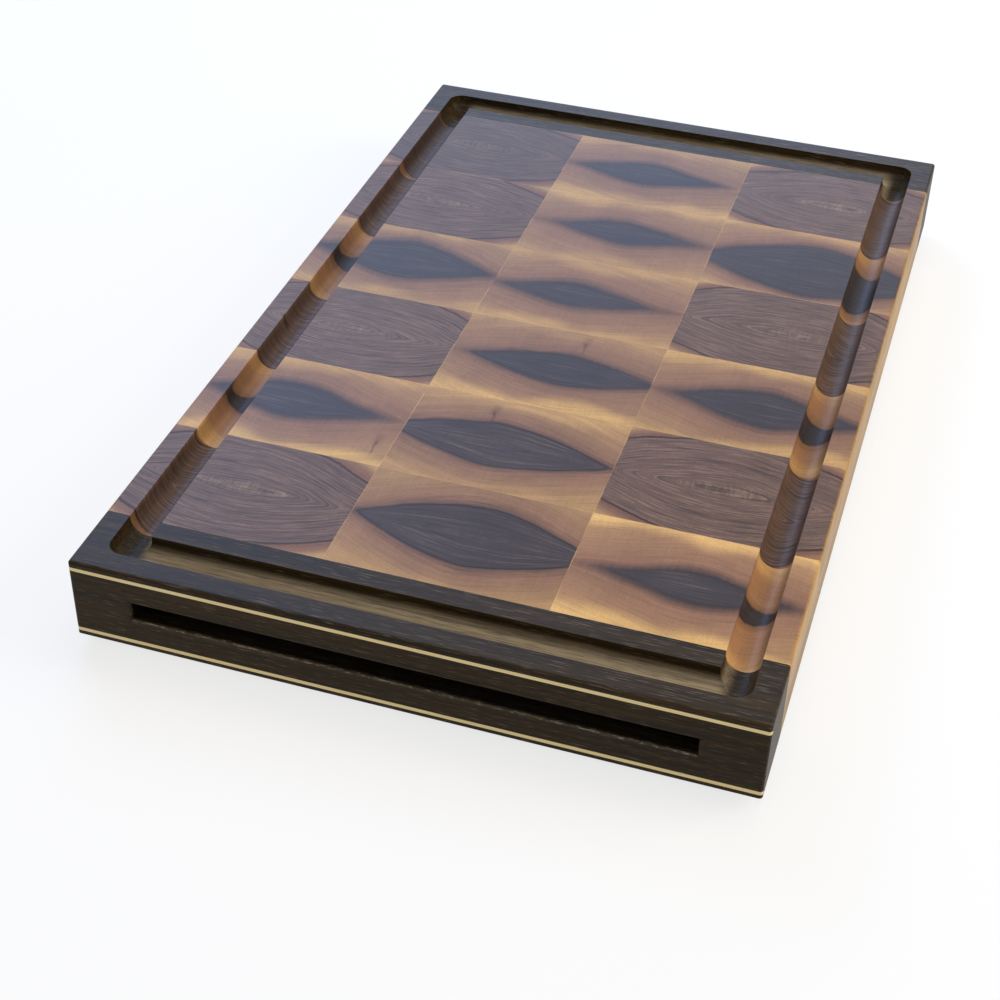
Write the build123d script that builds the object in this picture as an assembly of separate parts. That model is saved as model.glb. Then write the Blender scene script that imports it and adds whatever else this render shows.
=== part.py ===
from build123d import *
import os

# A thick end-grain cutting board with a juice groove and two shallow steel trays.
# The trays slide in a flat bay that runs through the board, one out of each end.
# X is the board's width, Y its length (the front end faces -Y), Z is up.
# The origin is on the surface that the board stands on, under the board's centre.
# All sizes are in millimetres.

# Board
BOARD_WIDTH = 400.0
BOARD_LENGTH = 640.0
BASE_THICKNESS = 22.0  # lower layer of end-grain blocks
BAY_HEIGHT = 12.0  # gap between the layers, where the trays slide
TOP_THICKNESS = 21.0  # upper layer of end-grain blocks
EDGE_RADIUS = 2.0  # rounding of the upright and upper edges
BASE_CHAMFER = 1.5  # on the edges of the underside
COLUMNS = ("left", "centre", "right")  # of end-grain blocks, across the width
ROWS = 6  # of end-grain blocks, along the length

# End rails, of dark long-grain wood, across both ends
END_RAIL_LENGTH = 48.5
BAY_WIDTH = 326.0
MOUTH_CORNER_RADIUS = 2.0  # rounding of the upright edges beside the slot
MOUTH_LIP_RADIUS = 1.2  # rounding of the slot's long edges
INLAY_HEIGHT = 2.4
INLAY_DEPTH = 2.0
INLAY_INSET = 5.3  # from the board's top or bottom face to an inlay's middle

# Juice groove, cut with a ball-nosed cutter
GROOVE_RADIUS = 10.0
GROOVE_DEPTH = 12.5
GROOVE_INSET = 25.0  # from the board's edge to the groove's centre line

# Trays, pressed from steel sheet
SHEET = 1.0
TRAY_HEIGHT = 10.4
TRAY_SIDE_GAP = 1.0  # from the tray's rim to the bay's side
TRAY_FLOOR_GAP = 0.3  # running clearance under the tray
TRAY_RIM = 4.0  # width of the flange round the tray's top
TRAY_CORNER_RADIUS = 12.0  # of the tray's walls, seen from above
TRAY_FLOOR_RADIUS = 3.0  # where the walls turn into the floor
TRAY_SETBACK = 22.0  # from the end of the board to the tray's front wall
PULL_WIDTH = 150.0
PULL_REACH = 14.0  # how far the pull flange stands out from the front wall
PULL_LIP_DROP = 2.0  # how far its edge is turned down
PULL_CORNER_RADIUS = 5.0

# Stop bar between the trays
STOP_BAR_LENGTH = 10.0
STOP_GAP = 0.5  # from the bar to a shut tray's rim

# Feet, of rubber, screwed to the lower end rails
FOOT_HEIGHT = 6.0
FOOT_RADIUS = 15.0
FOOT_SIDE_INSET = 30.0  # from the board's side to a foot's middle
SCREW_RADIUS = 2.0
SCREW_LENGTH = 16.0  # below the head
SCREW_HEAD_RADIUS = 4.2
SCREW_HEAD_HEIGHT = 2.4
SCREW_HEAD_GAP = 0.4  # between the head and its counterbore
SCREW_SOCKET_LENGTH = 4.4
SCREW_SOCKET_WIDTH = 1.0
SCREW_SOCKET_DEPTH = 1.2
FOOT_WEB = 2.6  # rubber that the screw head clamps

# Levels and places that follow from the sizes above
BASE_Z = FOOT_HEIGHT
BAY_Z = BASE_Z + BASE_THICKNESS
CEILING_Z = BAY_Z + BAY_HEIGHT
TOP_Z = CEILING_Z + TOP_THICKNESS
SIDE_X = BOARD_WIDTH / 2
END_Y = BOARD_LENGTH / 2
FIELD_Y = END_Y - END_RAIL_LENGTH
BAY_X = BAY_WIDTH / 2
BLOCK_WIDTH = BOARD_WIDTH / len(COLUMNS)
BLOCK_LENGTH = 2 * FIELD_Y / ROWS
FOOT_PLACES = [
    (sx * (SIDE_X - FOOT_SIDE_INSET), sy * (FIELD_Y + END_RAIL_LENGTH / 2))
    for sx in (-1, 1)
    for sy in (-1, 1)
]


def slab(x_range, y_range, z_range):
    """A box between the given limits."""
    sizes = [high - low for low, high in (x_range, y_range, z_range)]
    middle = [(high + low) / 2 for low, high in (x_range, y_range, z_range)]
    return Pos(*middle) * Box(*sizes)


def floor_edges(block):
    """The edges round a block's underside."""
    return block.faces().sort_by(Axis.Z)[0].edges()


def board_outline():
    """The whole board as one block with eased edges: it trims every outer piece."""
    block = slab((-SIDE_X, SIDE_X), (-END_Y, END_Y), (BASE_Z, TOP_Z))
    block = fillet(block.edges().filter_by(Axis.Z), EDGE_RADIUS)
    block = fillet(block.faces().sort_by(Axis.Z)[-1].edges(), EDGE_RADIUS)
    return chamfer(floor_edges(block), BASE_CHAMFER)


def groove_cutter():
    """What a ball-nosed cutter removes on its way round the board.

    Its path is a rectangle, so the inner corners are sharp and the outer ones
    have the cutter's own radius.
    """
    run_x = SIDE_X - GROOVE_INSET
    run_y = END_Y - GROOVE_INSET
    nose_z = TOP_Z - GROOVE_DEPTH + GROOVE_RADIUS
    above = TOP_THICKNESS  # the cutter stands out of the top by more than enough
    section = Circle(GROOVE_RADIUS) + Pos(0, above / 2) * Rectangle(2 * GROOVE_RADIUS, above)
    along_y = extrude(Plane.XZ * section, run_y, both=True)
    along_x = extrude(Plane.YZ * section, run_x, both=True)
    shank = Pos(0, 0, above / 2) * Cylinder(GROOVE_RADIUS, above)
    turn = Sphere(GROOVE_RADIUS) + shank
    cutter = Part()
    for side in (-1, 1):
        cutter += Pos(side * run_x, 0, nose_z) * along_y
        cutter += Pos(0, side * run_y, nose_z) * along_x
    for sx in (-1, 1):
        for sy in (-1, 1):
            cutter += Pos(sx * run_x, sy * run_y, nose_z) * turn
    return cutter


def end_grain_block(column, row, z_range, outline):
    """One block of a layer. Columns count from the left and rows from the front."""
    x = -SIDE_X + column * BLOCK_WIDTH
    y = -FIELD_Y + row * BLOCK_LENGTH
    return slab((x, x + BLOCK_WIDTH), (y, y + BLOCK_LENGTH), z_range) & outline


def bay_spacer(outline):
    """The strip between the layers along the board's left side."""
    return slab((-SIDE_X, -BAY_X), (-FIELD_Y, FIELD_Y), (BAY_Z, CEILING_Z)) & outline


def end_spacer(outline):
    """The piece beside the slot at the front left, with a rounded edge at the mouth."""
    blank = slab((-SIDE_X, -BAY_X), (-END_Y, -FIELD_Y), (BAY_Z, CEILING_Z)) & outline
    mouth_edge = blank.edges().filter_by(Axis.Z).sort_by(Axis.X)[-2:].sort_by(Axis.Y)[0]
    return fillet(mouth_edge, MOUTH_CORNER_RADIUS)


def inlay_blank(middle_z):
    """The straight strip let into the front face at the given height."""
    z_range = (middle_z - INLAY_HEIGHT / 2, middle_z + INLAY_HEIGHT / 2)
    return slab((-SIDE_X, SIDE_X), (-END_Y, -END_Y + INLAY_DEPTH), z_range)


def lip_cutter():
    """Rounds the slot's upper edge at the front face, between the rounded upright edges."""
    radius = MOUTH_LIP_RADIUS
    corner = Pos(radius / 2, radius / 2) * Rectangle(radius, radius)
    profile = corner - Pos(radius, radius) * Circle(radius)
    half_mouth = BAY_X + MOUTH_CORNER_RADIUS
    return Pos(0, -END_Y, CEILING_Z) * extrude(Plane.YZ * profile, half_mouth, both=True)


def top_rail(outline, cutter):
    """The upper front rail, with its share of the groove and a rebate for the inlay."""
    rail = slab((-SIDE_X, SIDE_X), (-END_Y, -FIELD_Y), (CEILING_Z, TOP_Z)) & outline
    return rail - cutter - inlay_blank(TOP_Z - INLAY_INSET) - lip_cutter()


def base_rail(outline):
    """The lower front rail, with its inlay rebate and pilot holes for the foot screws."""
    rail = slab((-SIDE_X, SIDE_X), (-END_Y, -FIELD_Y), (BASE_Z, BAY_Z)) & outline
    bay_middle = Plane.XY.offset((BAY_Z + CEILING_Z) / 2)
    rail -= inlay_blank(BASE_Z + INLAY_INSET)
    rail -= mirror(lip_cutter(), about=bay_middle)
    for x, y in FOOT_PLACES:
        rail -= Pos(x, y) * screw_hole()
    return rail


def standing(shape, z):
    """The shape, which is centred on the origin, stood on the given height."""
    return Pos(0, 0, z - shape.bounding_box().min.Z) * shape


def screw_hole():
    """The hole for a foot's screw, as deep as the screw is long, at x = y = 0."""
    return standing(Cylinder(SCREW_RADIUS, SCREW_LENGTH), FOOT_HEIGHT - FOOT_WEB)


def foot():
    """A round rubber foot, with a counterbore that hides the screw's head."""
    body = standing(Cylinder(FOOT_RADIUS, FOOT_HEIGHT), 0)
    recess = Cylinder(SCREW_HEAD_RADIUS + SCREW_HEAD_GAP, FOOT_HEIGHT - FOOT_WEB)
    return body - standing(recess, 0) - screw_hole()


def foot_screw():
    """A cylinder-head screw with a cross recess, head down in its place in a foot."""
    web_z = FOOT_HEIGHT - FOOT_WEB
    head_z = web_z - SCREW_HEAD_HEIGHT
    head = standing(Cylinder(SCREW_HEAD_RADIUS, SCREW_HEAD_HEIGHT), head_z)
    shank = standing(Cylinder(SCREW_RADIUS, SCREW_LENGTH), web_z)
    arm = Box(SCREW_SOCKET_LENGTH, SCREW_SOCKET_WIDTH, SCREW_SOCKET_DEPTH)
    return head + shank - standing(arm + Rot(0, 0, 90) * arm, head_z)


def tray():
    """The front tray: a pressed pan with a rim all round and a turned-down pull at its front."""
    wall_width = BAY_WIDTH - 2 * (TRAY_SIDE_GAP + TRAY_RIM)
    wall_front = -END_Y + TRAY_SETBACK
    wall_back = -STOP_BAR_LENGTH / 2 - STOP_GAP - TRAY_RIM
    wall_length = wall_back - wall_front
    wall_outline = RectangleRounded(wall_width, wall_length, TRAY_CORNER_RADIUS)
    outer = extrude(wall_outline, TRAY_HEIGHT)
    inner = extrude(Pos(0, 0, SHEET) * offset(wall_outline, -SHEET), TRAY_HEIGHT)
    inner = fillet(floor_edges(inner), TRAY_FLOOR_RADIUS - SHEET)
    # a chamfer as wide as the bend's outside radius leaves it, at the middle of the bend
    bend_cut = TRAY_FLOOR_RADIUS * (2 - 2**0.5)
    outer = chamfer(floor_edges(outer), bend_cut)
    rim = extrude(Pos(0, 0, TRAY_HEIGHT) * offset(wall_outline, TRAY_RIM), -SHEET)
    # the pull is a flange that reaches forward from the wall, with its edge turned down
    pull_back = -wall_length / 2 + TRAY_CORNER_RADIUS
    pull_front = -wall_length / 2 - PULL_REACH
    pull_length = pull_back - pull_front
    pull_outline = RectangleRounded(PULL_WIDTH, pull_length, PULL_CORNER_RADIUS)
    pull_place = Pos(0, (pull_back + pull_front) / 2, TRAY_HEIGHT)
    flange = pull_place * extrude(pull_outline, -SHEET)
    lip_height = SHEET + PULL_LIP_DROP
    lip_blank = pull_place * extrude(pull_outline, -lip_height)
    lip_inside = pull_place * extrude(offset(pull_outline, -SHEET), -lip_height)
    lip_zone = slab(
        (-PULL_WIDTH / 2, PULL_WIDTH / 2),
        (pull_front, pull_front + PULL_CORNER_RADIUS),
        (0, TRAY_HEIGHT),
    )
    lip = (lip_blank - lip_inside) & lip_zone
    whole = outer + rim + flange + lip - inner
    return Pos(0, (wall_front + wall_back) / 2, BAY_Z + TRAY_FLOOR_GAP) * whole


def stop_bar():
    """The bar across the middle of the bay that the shut trays meet."""
    half = STOP_BAR_LENGTH / 2
    return slab((-BAY_X, BAY_X), (-half, half), (BAY_Z, CEILING_Z))


def save(name, *solids):
    """Writes a sub-part's solids to its own file."""
    shape = solids[0] if len(solids) == 1 else Compound(children=list(solids))
    export_step(shape, f"parts/{name}.step")


def main():
    os.makedirs("parts", exist_ok=True)
    outline = board_outline()
    cutter = groove_cutter()

    for column, side in enumerate(COLUMNS):
        for row in range(ROWS):
            base = end_grain_block(column, row, (BASE_Z, BAY_Z), outline)
            top = end_grain_block(column, row, (CEILING_Z, TOP_Z), outline) - cutter
            save(f"base_block_{side}_{row + 1}", base)
            save(f"top_block_{side}_{row + 1}", top)

    spacer = bay_spacer(outline)
    save("bay_spacer_left", spacer)
    save("bay_spacer_right", mirror(spacer, about=Plane.YZ))

    # the front end's pieces, and their mirror images at the rear
    mouth_piece = end_spacer(outline)
    end_pieces = {
        "top_rail": top_rail(outline, cutter),
        "base_rail": base_rail(outline),
        "end_spacer_left": mouth_piece,
        "end_spacer_right": mirror(mouth_piece, about=Plane.YZ),
        "inlay_upper": inlay_blank(TOP_Z - INLAY_INSET) & outline,
        "inlay_lower": inlay_blank(BASE_Z + INLAY_INSET) & outline,
        "tray": tray(),
    }
    for name, piece in end_pieces.items():
        save(f"front_{name}", piece)
        save(f"rear_{name}", mirror(piece, about=Plane.XZ))

    save("tray_stop_bar", stop_bar())
    save("rubber_feet", *[Pos(x, y) * foot() for x, y in FOOT_PLACES])
    save("foot_screws", *[Pos(x, y) * foot_screw() for x, y in FOOT_PLACES])


main()
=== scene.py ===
import math
from dataclasses import dataclass

import bpy
from mathutils import Matrix, Vector


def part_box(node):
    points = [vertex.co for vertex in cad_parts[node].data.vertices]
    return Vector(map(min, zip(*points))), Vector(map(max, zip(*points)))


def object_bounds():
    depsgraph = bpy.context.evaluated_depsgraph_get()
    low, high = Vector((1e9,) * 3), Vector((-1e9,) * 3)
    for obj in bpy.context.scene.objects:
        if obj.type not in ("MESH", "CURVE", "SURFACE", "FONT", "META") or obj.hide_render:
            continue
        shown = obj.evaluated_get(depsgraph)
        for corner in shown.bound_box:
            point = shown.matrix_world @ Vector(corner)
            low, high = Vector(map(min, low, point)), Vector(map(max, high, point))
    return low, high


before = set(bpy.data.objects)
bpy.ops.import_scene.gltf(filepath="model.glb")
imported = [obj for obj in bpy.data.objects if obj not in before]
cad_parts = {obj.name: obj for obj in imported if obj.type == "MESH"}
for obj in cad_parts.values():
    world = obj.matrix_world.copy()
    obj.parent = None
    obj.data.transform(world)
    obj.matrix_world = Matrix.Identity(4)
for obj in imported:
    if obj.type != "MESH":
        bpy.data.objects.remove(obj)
cad_low, cad_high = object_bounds()

# ---------------------------------------------------------------- sizes, mostly read from the frame

MM = 1000.0  # the materials work in millimetres
COLUMNS = ("left", "centre", "right")
ROWS = 6


def sizes_mm(node):
    """Lowest and highest corner of a node, in millimetres."""
    low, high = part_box(node)
    return Vector(low) * MM, Vector(high) * MM


OUTER_SIDE = cad_high[0] * MM
END_FACE = cad_high[1] * MM
TOP_FACE = cad_high[2] * MM
SLOT_FLOOR = sizes_mm("front_base_rail")[1].z
SLOT_CEILING = sizes_mm("front_top_rail")[0].z
SLOT_SIDE = sizes_mm("front_end_spacer_right")[0].x
GROOVE_LINE = OUTER_SIDE - 25.0  # middle line of the groove along each side
GROOVE_FLOOR = TOP_FACE - 12.5


# ---------------------------------------------------------------- small helpers for node trees


class Value:
    """An output of a node that sums can be written with, as in 1.0 - wave * 0.3."""

    def __init__(self, tree, socket):
        self.tree = tree
        self.socket = socket

    def __add__(self, other):
        return self.tree.math("ADD", self, other)

    def __radd__(self, other):
        return self.tree.math("ADD", other, self)

    def __sub__(self, other):
        return self.tree.math("SUBTRACT", self, other)

    def __rsub__(self, other):
        return self.tree.math("SUBTRACT", other, self)

    def __mul__(self, other):
        return self.tree.math("MULTIPLY", self, other)

    def __truediv__(self, other):
        return self.tree.math("DIVIDE", self, other)

    def __abs__(self):
        return self.tree.math("ABSOLUTE", self)


class Tree:
    """Adds nodes to a node tree and gives back their outputs as values."""

    def __init__(self, tree):
        self.tree = tree

    def set(self, socket, value):
        """Links a value to an input, or writes a number, a vector or a colour into it."""
        if isinstance(value, Value):
            self.tree.links.new(value.socket, socket)
        else:
            socket.default_value = value

    def node(self, kind, inputs=None, **settings):
        """Adds a node, with its inputs given by name or number."""
        node = self.tree.nodes.new(kind)
        for name, value in settings.items():
            setattr(node, name, value)
        for name, value in (inputs or {}).items():
            self.set(node.inputs[name], value)
        return node

    def value(self, kind, inputs=None, output=0, **settings):
        """Adds a node and gives back one of its outputs."""
        return Value(self, self.node(kind, inputs, **settings).outputs[output])

    def math(self, operation, first, second=0.0, clamp=False):
        inputs = {0: first, 1: second}
        return self.value("ShaderNodeMath", inputs, operation=operation, use_clamp=clamp)

    def vector(self, x, y, z):
        return self.value("ShaderNodeCombineXYZ", {0: x, 1: y, 2: z})

    def split(self, vector):
        node = self.node("ShaderNodeSeparateXYZ", {0: vector})
        return [Value(self, output) for output in node.outputs]

    def scaled(self, vector, x, y, z):
        inputs = {0: vector, 1: (x, y, z)}
        return self.value("ShaderNodeVectorMath", inputs, operation="MULTIPLY")

    def noise(self, vector, scale, detail=2.0, roughness=0.5, distortion=0.0):
        inputs = {
            "Vector": vector,
            "Scale": scale,
            "Detail": detail,
            "Roughness": roughness,
            "Distortion": distortion,
        }
        return self.value("ShaderNodeTexNoise", inputs)

    def centred_noise(self, *settings):
        """A noise between about -0.5 and 0.5."""
        return self.noise(*settings) - 0.5

    def line_noise(self, place, scale, detail):
        inputs = {"W": place, "Scale": scale, "Detail": detail}
        return self.value("ShaderNodeTexNoise", inputs, noise_dimensions="1D")

    def step(self, value, low, high, to_low=0.0, to_high=1.0):
        """A smooth change from to_low to to_high as the value goes from low to high."""
        inputs = {0: value, 1: low, 2: high, 3: to_low, 4: to_high}
        return self.value("ShaderNodeMapRange", inputs, interpolation_type="SMOOTHSTEP")

    def distance(self, value, middle):
        return abs(value - middle)

    def inside(self, value, face, margin, fade=2.0):
        """1 where a place lies further than margin inside a pair of outer faces."""
        return self.step(abs(value), face - margin, face - margin - fade)

    def mix(self, factor, first, second):
        return self.value("ShaderNodeMix", {0: factor, 2: first, 3: second})

    def blend(self, factor, first, second, how="MIX"):
        """Blends two colours."""
        inputs = {0: factor, 6: first, 7: second}
        return self.value("ShaderNodeMix", inputs, output=2, data_type="RGBA", blend_type=how)

    def shaded(self, colour, shade):
        """A colour made darker or brighter."""
        return self.blend(1.0, colour, self.vector(shade, shade, shade), "MULTIPLY")

    def ramp(self, factor, stops):
        """A colour ramp through (position, colour) stops."""
        node = self.node("ShaderNodeValToRGB", {0: factor})
        elements = node.color_ramp.elements
        while len(elements) < len(stops):
            elements.new(0.5)
        for element, (position, colour) in zip(elements, stops):
            element.position = position
            element.color = colour
        return Value(self, node.outputs[0])

    def place_mm(self):
        """The place in the board's own frame, in millimetres."""
        place = self.value("ShaderNodeTexCoord", output="Object")
        return self.scaled(place, MM, MM, MM)


BUMP_STRENGTH = 0.5


def linear(red, green, blue):
    """A colour given as it looks on a screen, 0 to 255, turned into amounts of light."""

    def channel(value):
        value = value / 255.0
        return value / 12.92 if value <= 0.04045 else ((value + 0.055) / 1.055) ** 2.4

    return (channel(red), channel(green), channel(blue), 1.0)


def empty_tree(owner):
    """An empty node tree for a material or a world."""
    owner.use_nodes = True
    owner.node_tree.nodes.clear()
    return Tree(owner.node_tree)


def new_material(name):
    """A material with one surface shader: returns it, its tree and the shader."""
    material = bpy.data.materials.new(name)
    tree = empty_tree(material)
    shader = tree.node("ShaderNodeBsdfPrincipled")
    tree.node("ShaderNodeOutputMaterial", {0: Value(tree, shader.outputs[0])})
    return material, tree, shader


def finish_with(tree, shader, colour, roughness, height, bump_mm):
    """Plugs colour, roughness and a bump of the given depth into a shader."""
    tree.set(shader.inputs["Base Color"], colour)
    tree.set(shader.inputs["Roughness"], roughness)
    bump = {"Strength": BUMP_STRENGTH, "Distance": bump_mm / MM, "Height": height}
    tree.set(shader.inputs["Normal"], tree.value("ShaderNodeBump", bump))


def dress(node, material):
    """Gives a node of the frame a material in all its slots."""
    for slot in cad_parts[node].material_slots:
        slot.material = material


# ---------------------------------------------------------------- end grain

# Heartwood and sapwood of the walnut blocks
LENS_HEART = linear(56, 49, 51)
LENS_OUTLINE = linear(30, 21, 22)
LENS_EDGE = linear(53, 44, 44)
LENS_HALO = linear(104, 76, 60)
BROWN_SAP = linear(130, 95, 73)
TAN_SAP = linear(141, 105, 78)
PALE_SAP = linear(162, 126, 87)
GLOW_SAP = linear(204, 163, 101)
PALE_STREAK = linear(144, 120, 96)
BARK = linear(70, 40, 34)
# a painted warm light for the sapwood in the groove
GROOVE_PAINTED_LIGHT = linear(182, 132, 86)
WIDE_HEART = linear(101, 78, 66)
WIDE_EDGE = linear(58, 40, 33)
WIDE_HALO = linear(118, 82, 62)
SIDE_GRAIN = linear(172, 133, 62)

RAMP_START = -10.0  # millimetres outside the heart's edge where the colour ramps start
RAMP_SPAN = 70.0
RING_SPACING = 2.9
RING_WANDER = 4.5  # how far in and out a ring wanders, in spacings
RING_STRETCH = 0.055  # streaks along a ring are so thin against their length
HEART_STRETCH = 0.04  # the same for streaks from tip to tip of a narrow heart
DEPTH_STRETCH = 0.04  # how slowly the figure changes down through a block
GLOW_REACH = 15.0  # how broad the glow is on each side of its line
GLOW_WAVE = 34.0  # how far that line wanders
SEED_STEP_X = 137.0  # how far apart the noise of neighbouring seeds is read
SEED_STEP_Y = 71.0
BASE_SEED = 40.0  # what the lower layer adds to the seeds of the upper one
BLOCK_SPECULAR = 0.13


@dataclass
class Figure:
    """How the heartwood lies in one block, in millimetres.

    The heart's middle lies at shift from the block's middle. There the heart reaches
    up and down by height, and it ends in a point at x = +-length. Where height or
    length passes the block, only its corners are pale. tail draws the points out thin.
    glow is how much the sapwood glows along the front joint and along the rear one,
    tone is the block's brightness, and mark is the place of a small upright bark mark.
    crisp is 1 for a heart with a sharp dark outline, and wide is 1 for the lighter
    brown hearts with clear rings. power is 1.5 for an eye with plain curved sides and
    higher for one that stays broad up to its ends.
    """

    length: float
    height: float
    shift: tuple
    tail: float = 0.3
    glow: tuple = (0.7, 0.7)
    tone: float = 1.0
    mark: tuple = None
    crisp: float = 0.1
    wide: float = 0.0
    power: float = 1.5


def wide_figure(length, height, shift, tone=1.0, wide=1.0):
    """A brown heart that fills the block apart from its corners."""
    return Figure(length, height, shift, tail=0.0, tone=tone, crisp=0.5, wide=wide, power=1.95)


def crisp_figure(length, height, shift, glow, mark=None):
    """A grey heart from side to side of the block, with a sharp outline and fine lines."""
    return Figure(length, height, shift, tail=0.0, glow=glow, mark=mark, crisp=1.0, wide=0.15)


# One figure for each block of the top, from the front row to the rear one
FIGURES = {
    "left": [
        wide_figure(114, 50, (-5, 1)),
        Figure(59, 18, (-8, 2), 0.35, (1.0, 0.6), 1.05, (57, -24)),
        wide_figure(118, 53, (-4, 0)),
        Figure(67, 24, (0, 4), 0.25, (0.5, 0.5), 0.95),
        wide_figure(114, 51, (-4, 0), 0.90),
        wide_figure(114, 52, (-2, 2), 0.80, 0.8),
    ],
    "centre": [
        crisp_figure(76, 28, (8, 2), (0.35, 0.0)),
        crisp_figure(75, 22, (-7, -1), (0.3, 0.6), (-18, 29)),
        Figure(66, 18, (9, 0), 0.0, (1.0, 0.25), 1.0, (15, 31), crisp=0.45),
        Figure(58, 15, (-8, -1), 0.4, (0.6, 0.45), 0.98),
        Figure(53, 15, (2, 0), 0.4, (0.35, 0.8), 0.94),
        Figure(56, 17, (-5, 1), 0.4, (0.8, 0.5), 0.88),
    ],
    "right": [
        Figure(57, 15, (5, -1), 0.45, (1.0, 1.0), 1.2),
        wide_figure(116, 50, (3, 0), 1.06),
        Figure(61, 20, (8, -1), 0.35, (0.8, 0.9)),
        wide_figure(118, 53, (4, 0)),
        Figure(86, 34, (5, -7), 0.0, (0.6, 0.6)),
        wide_figure(114, 50, (4, 0), 0.93),
    ],
}

FIGURE_INPUTS = (
    "Block X",
    "Block Y",
    "Half Width",
    "Half Length",
    "Heart X",
    "Heart Y",
    "Heart Length",
    "Heart Height",
    "Tail",
    "Power",
    "Wide",
    "Crisp",
    "Front Glow",
    "Rear Glow",
    "Tone",
    "Mark X",
    "Mark Y",
    "Mark",
    "Seed",
)


def ring_field(tree, given, x, y, own):
    """How far out a place lies from the heart's middle, measured across its rings.

    Returns that distance, the distance outside the heart, and the share of the way up
    or down from the heart's middle line to its edge, times its height. Lines at equal
    shares run from one tip of the heart to the other.
    """
    slow = tree.centred_noise(own, 0.02, 1.0)
    quick = tree.centred_noise(own, 0.12, 3.0, 0.6)
    sideways = tree.centred_noise(tree.scaled(own, 1.0, -1.0, 1.0), 0.025, 2.0)
    bend = slow * 12.0 + quick * 2.6

    along = x - given["Heart X"] + sideways * 12.0
    share = along / given["Heart Length"]
    share = share * share
    # the bell draws the points out thin, and the eye has plain curved sides
    bell = 1.0 - tree.math("EXPONENT", share * -2.4)
    eye = tree.math("POWER", share, given["Power"])
    fall = tree.mix(given["Tail"], eye, bell) * given["Heart Height"]

    across = y - given["Heart Y"] + bend * 0.35
    # a root of a sum of squares keeps the middle ring round
    rounded = tree.math("SQRT", across * across + 2.0)
    ring_place = rounded + fall + bend * 0.3
    room = 1.0 - fall / given["Heart Height"]
    tip_to_tip = across / tree.math("MAXIMUM", room, 0.12)
    return ring_place, ring_place - given["Heart Height"], tip_to_tip


class Spot:
    """Where a point lies in its block and its heart: what all parts of the figure share."""

    def __init__(self, tree, given):
        self.x, self.y, self.z = tree.split(tree.place_mm())
        # each block has its own stretch of noise, nearly the same all the way down
        self.seed_x = given["Seed"] * SEED_STEP_X
        self.seed_y = given["Seed"] * SEED_STEP_Y
        self.down = self.z * DEPTH_STRETCH
        self.own = tree.vector(self.x + self.seed_x, self.y + self.seed_y, self.down)
        self.ring_place, outside, self.tip_to_tip = ring_field(tree, given, self.x, self.y, self.own)
        # the heart's edge is a little ragged along the rays
        ragged = tree.centred_noise(tree.scaled(self.own, 1.0, 0.12, 1.0), 0.45, 3.0, 0.6)
        self.outside = outside + ragged * (3.2 - given["Crisp"] * 2.8)
        self.in_heart = tree.step(self.outside, 0.5, -1.5)
        self.to_joint = given["Half Length"] - tree.distance(self.y, given["Block Y"])


def wood_colour(tree, given, spot):
    """Colour from the heart outwards, for the narrow dark hearts and for the wide ones."""

    def stops(*pairs):
        return [((place - RAMP_START) / RAMP_SPAN, colour) for place, colour in pairs]

    # a heart that isn't crisp fades out more slowly at its edge
    pace = 0.40 + given["Crisp"] * 0.60
    outside = spot.outside * tree.step(abs(spot.outside), 0.0, 16.0, pace, 1.0)
    factor = tree.math("DIVIDE", outside - RAMP_START, RAMP_SPAN, clamp=True)
    narrow = stops(
        (-3.0, LENS_HEART),
        (-0.8, LENS_EDGE),
        (1.4, LENS_HALO),
        (4.5, BROWN_SAP),
        (20.0, TAN_SAP),
        (50.0, PALE_SAP),
    )
    wide = stops(
        (-1.8, WIDE_HEART),
        (-0.5, WIDE_EDGE),
        (0.6, WIDE_HALO),
        (5.0, BROWN_SAP),
        (12.0, PALE_SAP),
        (24.0, GLOW_SAP),
    )
    colour = tree.blend(given["Wide"], tree.ramp(factor, narrow), tree.ramp(factor, wide))
    outline = tree.step(tree.distance(spot.outside, -0.7), 1.1, 0.2)
    return tree.blend(outline * (given["Crisp"] * 0.6), colour, LENS_OUTLINE)


def joint_glow(tree, given, spot):
    """How much the sapwood glows, in a wavy line along the joints between rows."""
    wave = tree.centred_noise(spot.own, 0.020, 1.0) * GLOW_WAVE
    to_line = abs(spot.to_joint + wave)
    glow = tree.step(to_line, GLOW_REACH, 0.0) * tree.step(spot.outside, 3.0, 20.0)
    rear_half = tree.step(spot.y - given["Block Y"], -4.0, 4.0)
    strength = tree.mix(rear_half, given["Front Glow"], given["Rear Glow"])
    return glow * strength * 0.85


def growth_rings(tree, ring_place, along_ring):
    """Thin lines, one to a ring, that darken outwards and end sharply: 0 to 1."""
    wander = tree.centred_noise(along_ring, 0.13, 2.0)
    turns = ring_place + wander * (RING_SPACING * RING_WANDER)
    part = tree.math("FRACT", turns / RING_SPACING)
    rise = tree.step(part, 0.30, 0.85)
    drop = tree.step(part, 1.0, 0.88)
    strength = tree.step(tree.noise(along_ring, 0.42, 2.0), 0.38, 0.64, 0.05, 1.0)
    return rise * drop * strength


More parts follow.
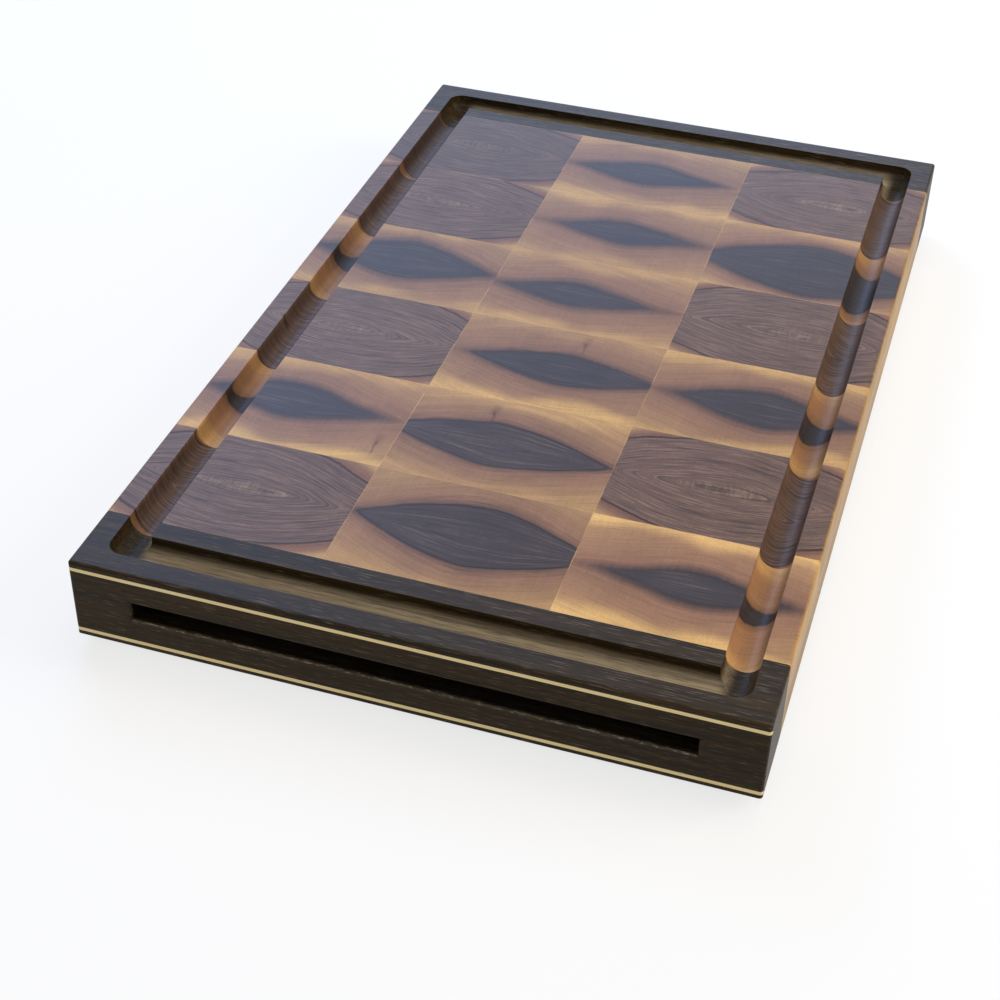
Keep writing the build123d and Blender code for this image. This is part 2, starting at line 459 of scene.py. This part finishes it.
def grain_lines(tree, given, spot):
    """Rings and streaks, broken along their way.

    Returns how bright they are, from about -1.5 to 0.5, and where a heart has pale ones.
    """
    along_x = spot.x + spot.seed_x
    along_ring = tree.vector(along_x * RING_STRETCH, spot.ring_place + spot.seed_y, spot.down)
    along_heart = tree.vector(along_x * HEART_STRETCH, spot.tip_to_tip + spot.seed_y, spot.down)
    narrow = spot.in_heart * (1.0 - given["Wide"])
    rings = growth_rings(tree, spot.ring_place + spot.seed_x, along_ring) * (1.0 - narrow * 0.75)
    ring_streaks = tree.noise(along_ring, 0.95, 3.0, 0.65)
    heart_streaks = tree.noise(along_heart, 0.55, 4.0, 0.7)
    streaks = tree.mix(narrow, ring_streaks, heart_streaks)
    lines = tree.step(streaks, 0.36, 0.64, 0.5, -0.5) - rings
    return lines, tree.step(streaks, 0.45, 0.33) * spot.in_heart


def line_depth(tree, given, spot):
    """How much the lines show: most in clear hearts and close to crisp ones."""
    near = tree.step(spot.outside, 14.0, 0.0) * given["Crisp"]
    clear = 0.12 + given["Wide"] * 0.05 + given["Crisp"] * 0.12
    return spot.in_heart * clear + (near * 0.18 + 0.12)


def ladder_marks(tree, given, spot):
    """The first ring of a wide heart is full of short upright marks."""
    eye = tree.step(spot.ring_place, 7.0, 4.0) * given["Wide"]
    marks = tree.noise(tree.scaled(spot.own, 1.0, 0.25, 1.0), 0.55, 2.0, 0.6)
    return eye * tree.step(marks, 0.42, 0.60) * 0.30


def soft_shade(tree, spot):
    """Broad rings, blotches, and rays that run across the rings."""
    broad = tree.line_noise(spot.ring_place + spot.seed_y, 0.13, 2.0)
    blotch = tree.noise(spot.own, 0.03, 3.0)
    rays = tree.noise(tree.scaled(spot.own, 1.0, 0.10, 1.0), 0.55, 4.0, 0.7)
    return (0.86 + broad * 0.28) * (0.82 + blotch * 0.36) * (0.85 + rays * 0.30)


def bark_mark(tree, given, spot):
    """A small upright mark, thin below and soft and broad above."""
    wave = tree.centred_noise(spot.own, 0.12, 2.0) * 4.0
    beside = tree.distance(spot.x + wave, given["Mark X"])
    up = spot.y - given["Mark Y"]
    thin = tree.step(beside, 1.3, 0.1) * tree.step(tree.distance(up, -4.0), 9.0, 5.0)
    soft = tree.step(beside, 4.5, 0.3) * tree.step(tree.distance(up, 4.0), 9.0, 3.0)
    return (thin * 0.45 + soft * 0.28) * given["Mark"]


def glue_joint(tree, given, spot):
    """1 on the hairline of glue round a block."""
    to_side = given["Half Width"] - tree.distance(spot.x, given["Block X"])
    return tree.step(tree.math("MINIMUM", to_side, spot.to_joint), 0.5, 0.1)


def end_grain_group():
    """The shared figure of all blocks: colour, roughness and relief by place."""
    group = bpy.data.node_groups.new("end_grain_figure", "ShaderNodeTree")
    for name in FIGURE_INPUTS:
        group.interface.new_socket(name, in_out="INPUT", socket_type="NodeSocketFloat")
    group.interface.new_socket("Color", in_out="OUTPUT", socket_type="NodeSocketColor")
    group.interface.new_socket("Roughness", in_out="OUTPUT", socket_type="NodeSocketFloat")
    group.interface.new_socket("Relief", in_out="OUTPUT", socket_type="NodeSocketFloat")
    tree = Tree(group)
    group_inputs = tree.node("NodeGroupInput").outputs
    given = {name: Value(tree, group_inputs[name]) for name in FIGURE_INPUTS}
    spot = Spot(tree, given)

    colour = wood_colour(tree, given, spot)
    colour = tree.blend(joint_glow(tree, given, spot), colour, GLOW_SAP)
    lines, pale_lines = grain_lines(tree, given, spot)
    pale = 0.12 + given["Wide"] * 0.06 + given["Crisp"] * 0.12
    colour = tree.blend(pale_lines * pale, colour, PALE_STREAK)
    colour = tree.blend(ladder_marks(tree, given, spot), colour, PALE_STREAK)
    colour = tree.blend(bark_mark(tree, given, spot), colour, BARK)
    # pores are fine dark specks
    pores = tree.noise(tree.scaled(spot.own, 1.0, 0.7, 1.0), 1.1, 2.0, 0.7)
    pore_dark = tree.step(pores, 0.58, 0.72, 0.0, 0.30)
    shade = 1.0 + lines * line_depth(tree, given, spot)
    shade = shade * soft_shade(tree, spot) * (1.0 - pore_dark) * given["Tone"]

    # painted light and shade below the top face, away from the outer sides, which on the top is the
    # groove: painted warm light on the sapwood, painted shade on the heartwood, and more painted
    # shade at the groove's outer wall
    in_groove = tree.step(spot.z, TOP_FACE - 1.0, TOP_FACE - 4.0)
    in_groove = in_groove * tree.inside(spot.x, OUTER_SIDE, 8.0)
    colour = tree.blend(in_groove * (1.0 - spot.in_heart) * 0.35, colour, GROOVE_PAINTED_LIGHT)
    # painted shade: darker at the groove's outer wall, and a little on the heartwood
    outer_wall_shade = tree.step(abs(spot.x), GROOVE_LINE + 4.0, GROOVE_LINE + 8.5, 0.0, 0.38)
    shade = shade * (1.0 - in_groove * (outer_wall_shade + spot.in_heart * 0.08))

    # the glue is pale, and shows along parts of its way
    joint = glue_joint(tree, given, spot)
    shown = tree.step(tree.noise(spot.own, 0.05, 2.0), 0.35, 0.65)
    colour = tree.blend(joint * shown * 0.6, colour, GLOW_SAP)

    # long grain on the board's outer sides takes less oil and stays paler
    outer = tree.step(abs(spot.x), OUTER_SIDE - 1.6, OUTER_SIDE - 0.1)
    colour = tree.blend(outer * 0.72, colour, SIDE_GRAIN)

    results = {
        "Color": tree.shaded(colour, shade),
        "Roughness": 0.33 + pores * 0.16,
        "Relief": lines * 0.3 - pore_dark - joint,
    }
    tree.node("NodeGroupOutput", results)
    return group


def dress_block(node, group, figure, seed):
    """Gives one block its own figure, placed from its middle."""
    low, high = sizes_mm(node)
    middle = (low + high) / 2
    mark = figure.mark or (0.0, 0.0)
    material, tree, shader = new_material(node)
    values = {
        "Block X": middle.x,
        "Block Y": middle.y,
        "Half Width": (high.x - low.x) / 2,
        "Half Length": (high.y - low.y) / 2,
        "Heart X": middle.x + figure.shift[0],
        "Heart Y": middle.y + figure.shift[1],
        "Heart Length": figure.length,
        "Heart Height": figure.height,
        "Tail": figure.tail,
        "Power": figure.power / 2,  # it is applied to a square
        "Wide": figure.wide,
        "Crisp": figure.crisp,
        "Front Glow": figure.glow[0],
        "Rear Glow": figure.glow[1],
        "Tone": figure.tone,
        "Mark X": middle.x + mark[0],
        "Mark Y": middle.y + mark[1],
        "Mark": 1.0 if figure.mark else 0.0,
        "Seed": seed,
    }
    picture = tree.node("ShaderNodeGroup", values, node_tree=group)
    colour, roughness, relief = [Value(tree, output) for output in picture.outputs]
    finish_with(tree, shader, colour, roughness, relief, 0.06)
    shader.inputs["Specular IOR Level"].default_value = BLOCK_SPECULAR
    dress(node, material)


def dress_blocks():
    """All blocks of both layers. The lower layer repeats the upper one's figures turned round."""
    group = end_grain_group()
    for column, side in enumerate(COLUMNS):
        opposite = COLUMNS[len(COLUMNS) - 1 - column]
        for row in range(ROWS):
            seed = 1.0 + column * ROWS + row
            dress_block(f"top_block_{side}_{row + 1}", group, FIGURES[side][row], seed)
            turned = FIGURES[opposite][ROWS - 1 - row]
            dress_block(f"base_block_{side}_{row + 1}", group, turned, seed + BASE_SEED)


# ---------------------------------------------------------------- long grain

WENGE_DARK = linear(29, 20, 6)
WENGE_BROWN = linear(52, 38, 15)
# painted shade for the wood inside the slot
WENGE_SLOT_SHADE = linear(7, 5, 3)
WENGE_PORE = linear(120, 104, 84)
# a painted highlight along the slot's lower edge
WENGE_SILL_HIGHLIGHT = linear(196, 186, 166)
# a painted light on the end grooves' floor
WENGE_GROOVE_LIGHT = linear(180, 163, 136)
WENGE_SPECULAR = 0.12
MAPLE = linear(250, 230, 172)
MAPLE_SHADE = linear(242, 214, 148)
WALNUT = linear(168, 134, 92)
WALNUT_DARK = linear(146, 113, 75)


def sill_painted_highlight(tree, place, x, y, z):
    """Where a painted highlight runs along the slot's lower edge, broken up by noise: 0 to 1."""
    close = tree.step(tree.distance(z, SLOT_FLOOR - 0.6), 0.9, 0.2)
    at_face = tree.step(abs(y), END_FACE - 2.5, END_FACE - 1.4)
    within = tree.step(abs(x), SLOT_SIDE + 1.0, SLOT_SIDE - 1.0)
    highlight_breaks = tree.step(tree.noise(tree.scaled(place, 0.20, 1.0, 1.0), 1.0, 4.0, 0.7), 0.48, 0.66)
    return close * at_face * within * (0.05 + highlight_breaks * 0.45)


def slot_painted_shade(tree, x, y, z):
    """1 inside the slot, where the wood gets painted shade."""
    half_height = (SLOT_CEILING - SLOT_FLOOR) / 2
    to_middle = tree.distance(z, SLOT_FLOOR + half_height)
    between = tree.step(to_middle, half_height + 0.8, half_height + 0.2)
    within = tree.step(abs(x), SLOT_SIDE + 2.0, SLOT_SIDE + 0.4)
    return between * within * tree.inside(y, END_FACE, 1.0, 1.5)


def groove_floor_light(tree, x, y, z):
    """1 in the end grooves' floor, away from the corners, where the wood gets a painted light."""
    below = tree.step(z, GROOVE_FLOOR + 8.5, GROOVE_FLOOR + 0.5)
    above = tree.step(z, GROOVE_FLOOR - 2.0, GROOVE_FLOOR - 1.0)
    return below * above * tree.inside(y, END_FACE, 8.0) * tree.inside(x, OUTER_SIDE, 26.0, 10.0)


def wenge():
    """Near-black wood with fine streaks and open pores along X."""
    material, tree, shader = new_material("wenge")
    place = tree.place_mm()
    x, y, z = tree.split(place)
    cloud = tree.noise(tree.scaled(place, 0.02, 0.06, 0.06), 1.0, 2.0)
    bands = tree.noise(tree.scaled(place, 0.010, 1.0, 1.0), 0.36, 3.0, 0.6, 0.4)
    fine = tree.noise(tree.scaled(place, 0.035, 1.0, 1.0), 1.7, 3.0, 0.7)
    pores = tree.step(tree.noise(tree.scaled(place, 0.055, 1.0, 1.0), 1.2, 2.0, 0.6), 0.57, 0.71)
    colour = tree.blend(tree.step(bands, 0.36, 0.64), WENGE_DARK, WENGE_BROWN)
    colour = tree.blend(tree.step(fine, 0.50, 0.66) * 0.7, colour, WENGE_DARK)
    colour = tree.blend(pores * 0.48, colour, WENGE_PORE)
    colour = tree.shaded(colour, 0.62 + cloud * 0.76)
    # painted shade inside the slot
    colour = tree.blend(slot_painted_shade(tree, x, y, z) * 0.8, colour, WENGE_SLOT_SHADE)
    # a painted highlight along the slot's lower edge
    colour = tree.blend(sill_painted_highlight(tree, place, x, y, z), colour, WENGE_SILL_HIGHLIGHT)
    # painted light on the end grooves' floor, strongest low down, fading up the walls, broken up by
    # the grain
    grain_share = tree.step(bands, 0.36, 0.64, 0.60, 1.0) * tree.step(fine, 0.68, 0.44, 0.45, 1.0)
    colour = tree.blend(groove_floor_light(tree, x, y, z) * grain_share, colour, WENGE_GROOVE_LIGHT)
    finish_with(tree, shader, colour, 0.36 + fine * 0.16, bands * 0.4 - pores, 0.12)
    shader.inputs["Specular IOR Level"].default_value = WENGE_SPECULAR
    return material


def maple():
    """Pale even wood with faint streaks along X."""
    material, tree, shader = new_material("maple_inlay")
    streaks = tree.noise(tree.scaled(tree.place_mm(), 0.03, 1.0, 1.0), 1.6, 3.0, 0.6)
    colour = tree.blend(tree.step(streaks, 0.35, 0.7), MAPLE, MAPLE_SHADE)
    finish_with(tree, shader, colour, 0.4, streaks, 0.03)
    return material


def walnut_long_grain():
    """Brown wood with streaks along Y, for the spacers at the board's sides."""
    material, tree, shader = new_material("walnut_long_grain")
    place = tree.place_mm()
    streaks = tree.noise(tree.scaled(place, 1.0, 0.012, 1.0), 0.45, 3.0, 0.6, 0.5)
    fine = tree.noise(tree.scaled(place, 1.0, 0.05, 1.0), 1.6, 3.0, 0.7)
    colour = tree.blend(tree.step(streaks, 0.35, 0.68), WALNUT, WALNUT_DARK)
    colour = tree.shaded(colour, 0.88 + fine * 0.24)
    finish_with(tree, shader, colour, 0.36 + fine * 0.14, fine, 0.06)
    return material


# ---------------------------------------------------------------- metal and rubber

STEEL = linear(150, 150, 149)
RUBBER = linear(30, 30, 31)


def brushed_steel():
    """Steel sheet, brushed along X."""
    material, tree, shader = new_material("brushed_steel")
    place = tree.place_mm()
    fine = tree.noise(tree.scaled(place, 0.012, 2.2, 1.4), 1.0, 4.0, 0.75)
    coarse = tree.noise(tree.scaled(place, 0.006, 0.55, 0.55), 1.0, 3.0, 0.7)
    brush = fine * 0.5 + coarse * 0.5
    cloud = tree.noise(place, 0.012, 2.0)
    colour = tree.shaded(STEEL, tree.step(brush, 0.38, 0.62, 0.66, 1.10))
    roughness = tree.step(brush, 0.34, 0.66, 0.30, 0.48) + cloud * 0.08
    shader.inputs["Metallic"].default_value = 1.0
    finish_with(tree, shader, colour, roughness, brush, 0.04)
    return material


def screw_steel():
    """Plain bright steel with fine turning marks."""
    material, tree, shader = new_material("screw_steel")
    marks = tree.noise(tree.place_mm(), 2.5, 3.0, 0.7)
    colour = tree.shaded(STEEL, 0.80 + marks * 0.3)
    shader.inputs["Metallic"].default_value = 1.0
    finish_with(tree, shader, colour, 0.24 + marks * 0.18, marks, 0.02)
    return material


def rubber():
    """Matt black moulded rubber with a fine grain."""
    material, tree, shader = new_material("foot_rubber")
    grain = tree.noise(tree.place_mm(), 3.0, 2.0, 0.6)
    colour = tree.shaded(RUBBER, 0.75 + grain * 0.5)
    finish_with(tree, shader, colour, 0.62 + grain * 0.2, grain, 0.08)
    return material


def dress_the_rest():
    """Every node apart from the end-grain blocks."""
    dark = wenge()
    pale = maple()
    steel = brushed_steel()
    for end in ("front", "rear"):
        for piece in ("top_rail", "base_rail", "end_spacer_left", "end_spacer_right"):
            dress(f"{end}_{piece}", dark)
        dress(f"{end}_inlay_upper", pale)
        dress(f"{end}_inlay_lower", pale)
        dress(f"{end}_tray", steel)
    dress("tray_stop_bar", dark)
    side_wood = walnut_long_grain()
    dress("bay_spacer_left", side_wood)
    dress("bay_spacer_right", side_wood)
    dress("rubber_feet", rubber())
    dress("foot_screws", screw_steel())


# ---------------------------------------------------------------- floor, light and camera

WHITE = (1.0, 1.0, 1.0, 1.0)
FLOOR_SIZE = 60.0
FLOOR_COLOUR = (0.24, 0.24, 0.24, 1.0)
FLOOR_BOUNCE = 0.26  # how much of it also lights the board, so that its underside isn't black
FLOOR_WHITE = 0.74  # how much of the floor's white doesn't depend on the light
FLOOR_NEAR = 0.9  # from this far out the floor turns into the white background
FLOOR_FAR = 2.6  # and from here on it is as white
WORLD_LIGHT = 0.28
LAMPS = (
    # name, place, watts, width, height, turn in degrees, colour
    ("key", (1.7, 0.4, 1.1), 26.0, 1.2, 1.2, 0.0, (1.0, 0.90, 0.76)),
    ("top", (0.30, 0.35, 2.0), 9.5, 0.9, 0.9, 0.0, (1.0, 0.91, 0.78)),
    ("sky", (-0.75, 2.0, 1.0), 35.0, 3.0, 0.7, 30.0, (0.38, 0.58, 1.0)),
    ("window", (-1.10, 1.05, 1.4), 15.0, 1.0, 0.8, 0.0, (0.34, 0.55, 1.0)),
    ("fill", (0.2, -1.9, 1.6), 11.0, 1.4, 1.4, 0.0, (1.0, 0.95, 0.86)),
)
CAMERA_PLACE = Vector((0.2593, -1.0098, 0.7369))
CAMERA_AZIMUTH = 16.77  # degrees, turning left from +Y
CAMERA_ELEVATION = 38.21
CAMERA_ROLL = 1.54
CAMERA_FOCAL = 1.8671  # focal length over the picture's width
SENSOR_WIDTH = 36.0


def white_rays(tree):
    """1 for rays that show the background itself: seen, mirrored or through glass."""
    path = tree.node("ShaderNodeLightPath").outputs
    seen = Value(tree, path["Is Camera Ray"])
    through = Value(tree, path["Is Transmission Ray"])
    mirrored = Value(tree, path["Is Glossy Ray"])
    return tree.math("MAXIMUM", tree.math("MAXIMUM", seen, through), mirrored)


def make_world():
    """Plain white where it is seen, and a dimmer even light on the board."""
    world = bpy.data.worlds.new("studio")
    bpy.context.scene.world = world
    tree = empty_tree(world)
    light = (WORLD_LIGHT, WORLD_LIGHT, WORLD_LIGHT, 1.0)
    colour = tree.blend(white_rays(tree), light, WHITE)
    background = tree.value("ShaderNodeBackground", {"Color": colour})
    tree.node("ShaderNodeOutputWorld", {0: background})


def make_floor():
    """A plain white floor that keeps the board's shadow and is clear from below."""
    bpy.ops.mesh.primitive_plane_add(size=FLOOR_SIZE)
    floor = bpy.context.object
    floor.name = "floor"
    material = bpy.data.materials.new("floor_white")
    tree = empty_tree(material)
    place = tree.value("ShaderNodeNewGeometry", output="Position")
    away = tree.value("ShaderNodeVectorMath", {0: place}, output="Value", operation="LENGTH")
    full = tree.step(away, FLOOR_NEAR, FLOOR_FAR, FLOOR_WHITE, 1.0)
    glow = white_rays(tree) * (full - FLOOR_BOUNCE) + FLOOR_BOUNCE
    lit = tree.value("ShaderNodeBsdfDiffuse", {"Color": FLOOR_COLOUR})
    white = tree.value("ShaderNodeEmission", {"Color": WHITE, "Strength": glow})
    both = tree.value("ShaderNodeAddShader", {0: lit, 1: white})
    below = tree.value("ShaderNodeNewGeometry", output="Backfacing")
    clear = tree.value("ShaderNodeBsdfTransparent")
    surface = tree.value("ShaderNodeMixShader", {0: below, 1: both, 2: clear})
    tree.node("ShaderNodeOutputMaterial", {0: surface})
    floor.data.materials.append(material)


def make_lamps():
    """Large soft lamps, all turned towards the board."""
    for name, place, watts, width, height, turn, colour in LAMPS:
        data = bpy.data.lights.new(name, "AREA")
        data.shape = "RECTANGLE"
        data.energy = watts
        data.size = width
        data.size_y = height
        data.color = colour
        lamp = bpy.data.objects.new(name, data)
        facing = (-Vector(place)).to_track_quat("-Z", "Y").to_matrix().to_4x4()
        roll = Matrix.Rotation(math.radians(turn), 4, "Z")
        lamp.matrix_world = Matrix.Translation(place) @ facing @ roll
        bpy.context.collection.objects.link(lamp)


def make_camera():
    """A camera at the photograph's viewing angle."""
    azimuth = math.radians(CAMERA_AZIMUTH)
    elevation = math.radians(CAMERA_ELEVATION)
    roll = math.radians(CAMERA_ROLL)
    forward = Vector(
        (
            -math.sin(azimuth) * math.cos(elevation),
            math.cos(azimuth) * math.cos(elevation),
            -math.sin(elevation),
        )
    )
    level = Vector((math.cos(azimuth), math.sin(azimuth), 0.0))
    upright = level.cross(forward)
    right = level * math.cos(roll) + upright * math.sin(roll)
    up = right.cross(forward)
    data = bpy.data.cameras.new("camera")
    data.sensor_fit = "HORIZONTAL"
    data.sensor_width = SENSOR_WIDTH
    data.lens = CAMERA_FOCAL * SENSOR_WIDTH
    camera = bpy.data.objects.new("camera", data)
    turn = Matrix((right, up, -forward)).transposed().to_4x4()
    camera.matrix_world = Matrix.Translation(CAMERA_PLACE) @ turn
    bpy.context.collection.objects.link(camera)
    bpy.context.scene.camera = camera


dress_blocks()
dress_the_rest()
make_world()
make_floor()
make_lamps()
make_camera()
bpy.context.scene.view_settings.view_transform = "Standard"
